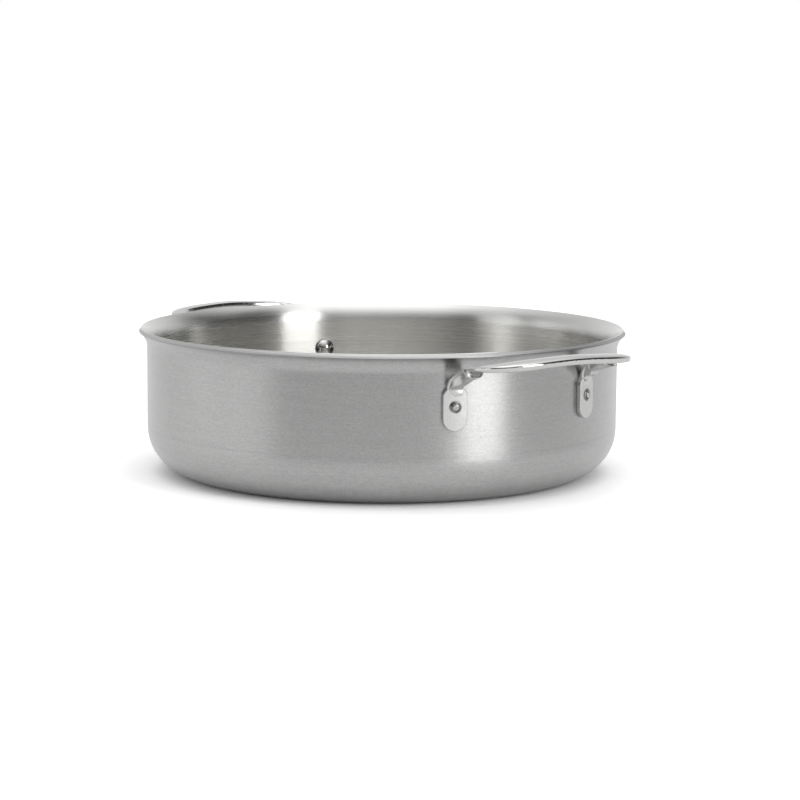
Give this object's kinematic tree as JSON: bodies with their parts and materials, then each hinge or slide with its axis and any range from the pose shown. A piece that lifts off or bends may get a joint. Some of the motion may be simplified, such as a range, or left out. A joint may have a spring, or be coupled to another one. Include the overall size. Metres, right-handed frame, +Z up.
{
  "type": "braiser pan",
  "caption": "Wide straight-sided braiser of clad steel and aluminium sheet with a flared pouring rim and riveted cast loop handles.",
  "frame": {"origin": "centre of the flat base, on the surface that the pan stands on", "axes": "+Z up; +X along the line through the two handles"},
  "size_m": [0.4, 0.3178, 0.0949],
  "materials": {
    "brushed_outside": "fine horizontal brushing",
    "core": "cut edge",
    "brushed_inside": "fine circular brushing",
    "polished_casting": "mirror polished stainless casting",
    "rivets": "polished stainless"
  },
  "bodies": {
    "root": {"outer_steel_ply": "brushed_outside", "aluminium_core": "core", "inner_steel_ply": "brushed_inside", "handle_right": "polished_casting", "handle_left": "polished_casting", "rivet_right_front": "rivets", "rivet_right_rear": "rivets", "rivet_left_front": "rivets", "rivet_left_rear": "rivets"}
  },
  "joints": []
}
